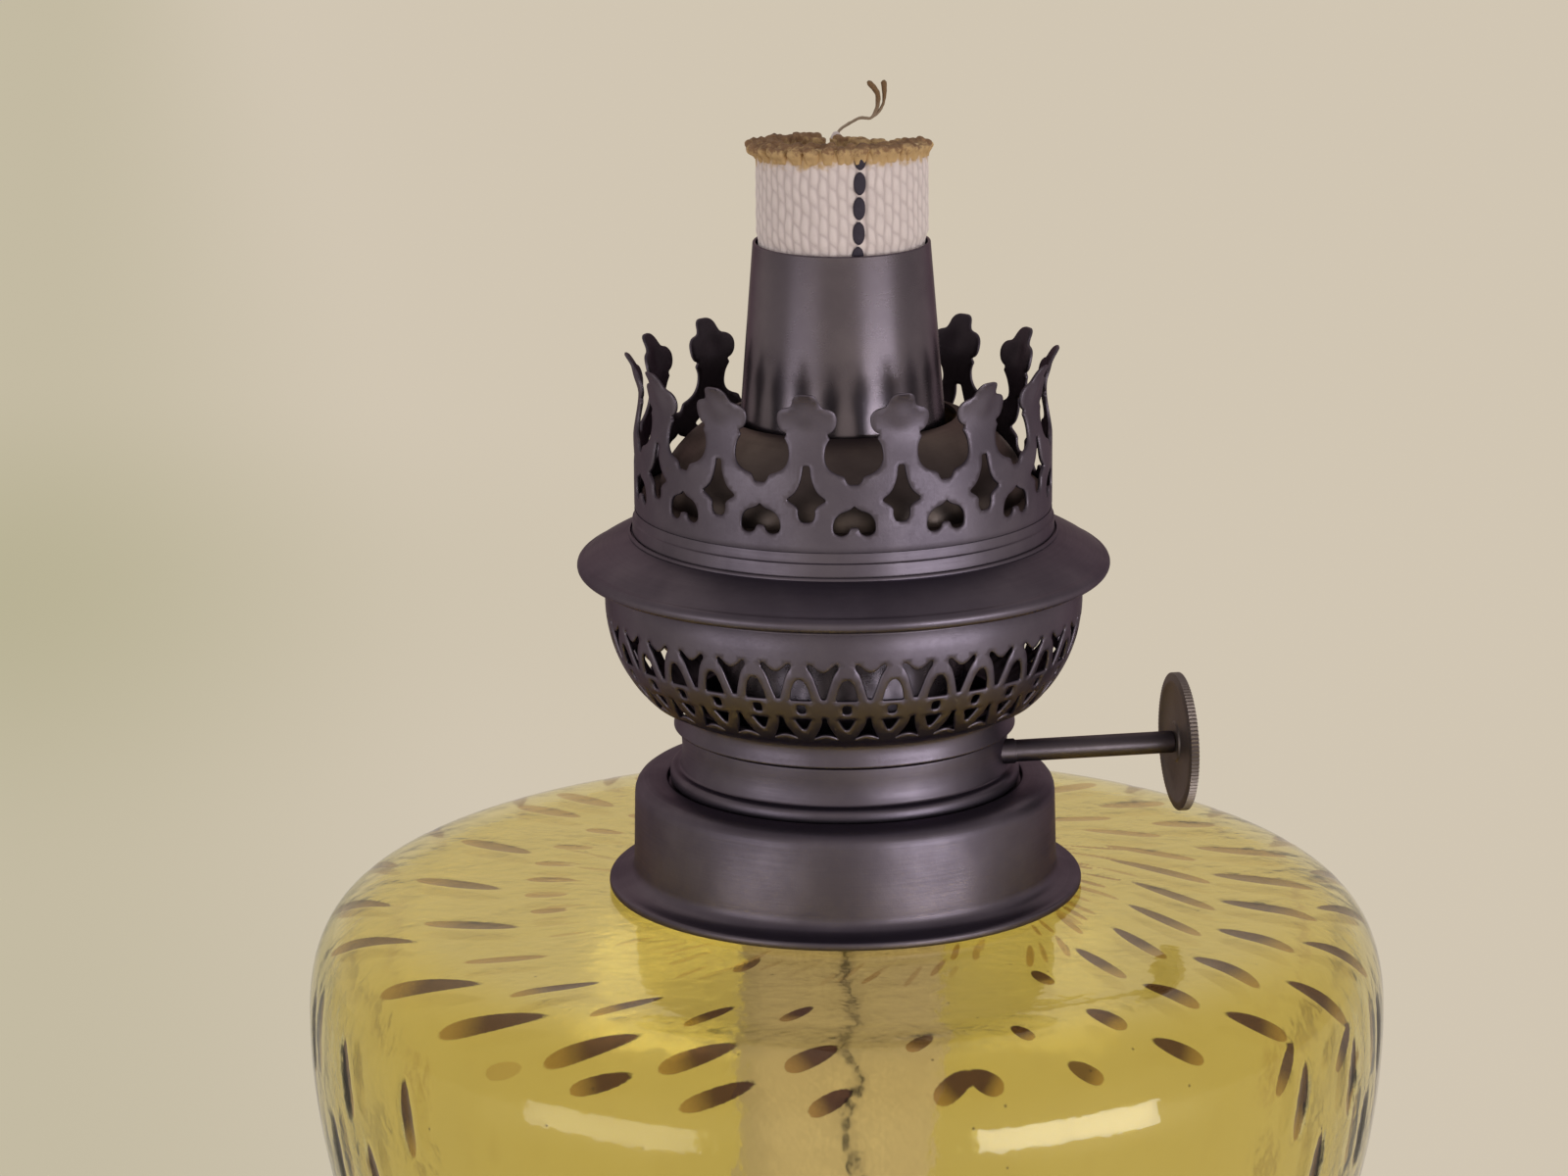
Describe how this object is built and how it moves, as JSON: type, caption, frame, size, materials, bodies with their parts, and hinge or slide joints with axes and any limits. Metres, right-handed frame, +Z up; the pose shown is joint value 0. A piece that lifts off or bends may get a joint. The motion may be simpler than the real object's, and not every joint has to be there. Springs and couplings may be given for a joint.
{
  "type": "oil lamp",
  "caption": "Table oil lamp with a footed amber glass font, cemented collar, lift-out round-wick burner, geared wick spindle and lift-off gallery with a chimney crown.",
  "frame": {"origin": "middle of the underside of the base pad, on the table", "axes": "+Z up along the axis of the lamp, +X the way the wick spindle points, -Y the front that the picture shows"},
  "size_m": [0.1416, 0.1416, 0.208],
  "materials": {
    "blackened_brass": "blackened sheet brass, burnished, with worn edges",
    "inner_brass": "heat-browned brass",
    "spindle_steel": "darkened drawn wire",
    "amber_glass": "clear yellow-amber glass with elongated optic dimples",
    "wick_cotton": "woven cotton band, scorched at the top",
    "plaster": "matt plaster",
    "base_felt": "pressed felt"
  },
  "bodies": {
    "font": {"base_pad": "base_felt", "foot_shell": "blackened_brass", "foot_filling": "plaster", "font_glass": "amber_glass", "collar_cement": "plaster", "font_collar": "blackened_brass"},
    "burner": {"burner_body": "blackened_brass", "burner_base_plate": "inner_brass", "outer_wick_tube": "blackened_brass", "inner_draught_tube": "inner_brass", "wick_backing_plate": "inner_brass", "spindle_gland": "blackened_brass", "spindle_end_bush": "inner_brass"},
    "spindle": {"spindle_shaft": "spindle_steel", "wick_wheel": "blackened_brass", "cog_wheel_left": "inner_brass", "cog_wheel_middle": "inner_brass", "cog_wheel_right": "inner_brass"},
    "wick": {"wick": "wick_cotton"},
    "gallery": {"air_basket": "blackened_brass", "gallery_flange": "blackened_brass", "chimney_crown": "blackened_brass", "flame_dome": "inner_brass"}
  },
  "joints": [
    {"name": "burner_lift", "type": "slide", "parent": "font", "child": "burner", "axis": [0, 0, 1], "range_m": [0, 0.075]},
    {"name": "spindle_turn", "type": "hinge", "parent": "burner", "child": "spindle", "pos_m": [0, -0.008, 0.1291], "axis": [1, 0, 0], "range_deg": [-229.3, 98.4]},
    {"name": "wick_feed", "type": "slide", "parent": "burner", "child": "wick", "axis": [0, 0, 1], "range_m": [-0.014, 0.006]},
    {"name": "gallery_lift", "type": "slide", "parent": "burner", "child": "gallery", "axis": [0, 0, 1], "range_m": [0, 0.08]}
  ],
  "couplings": [
    {"joint": "spindle_turn", "follows": "wick_feed", "rad_per_m": 285.71}
  ]
}
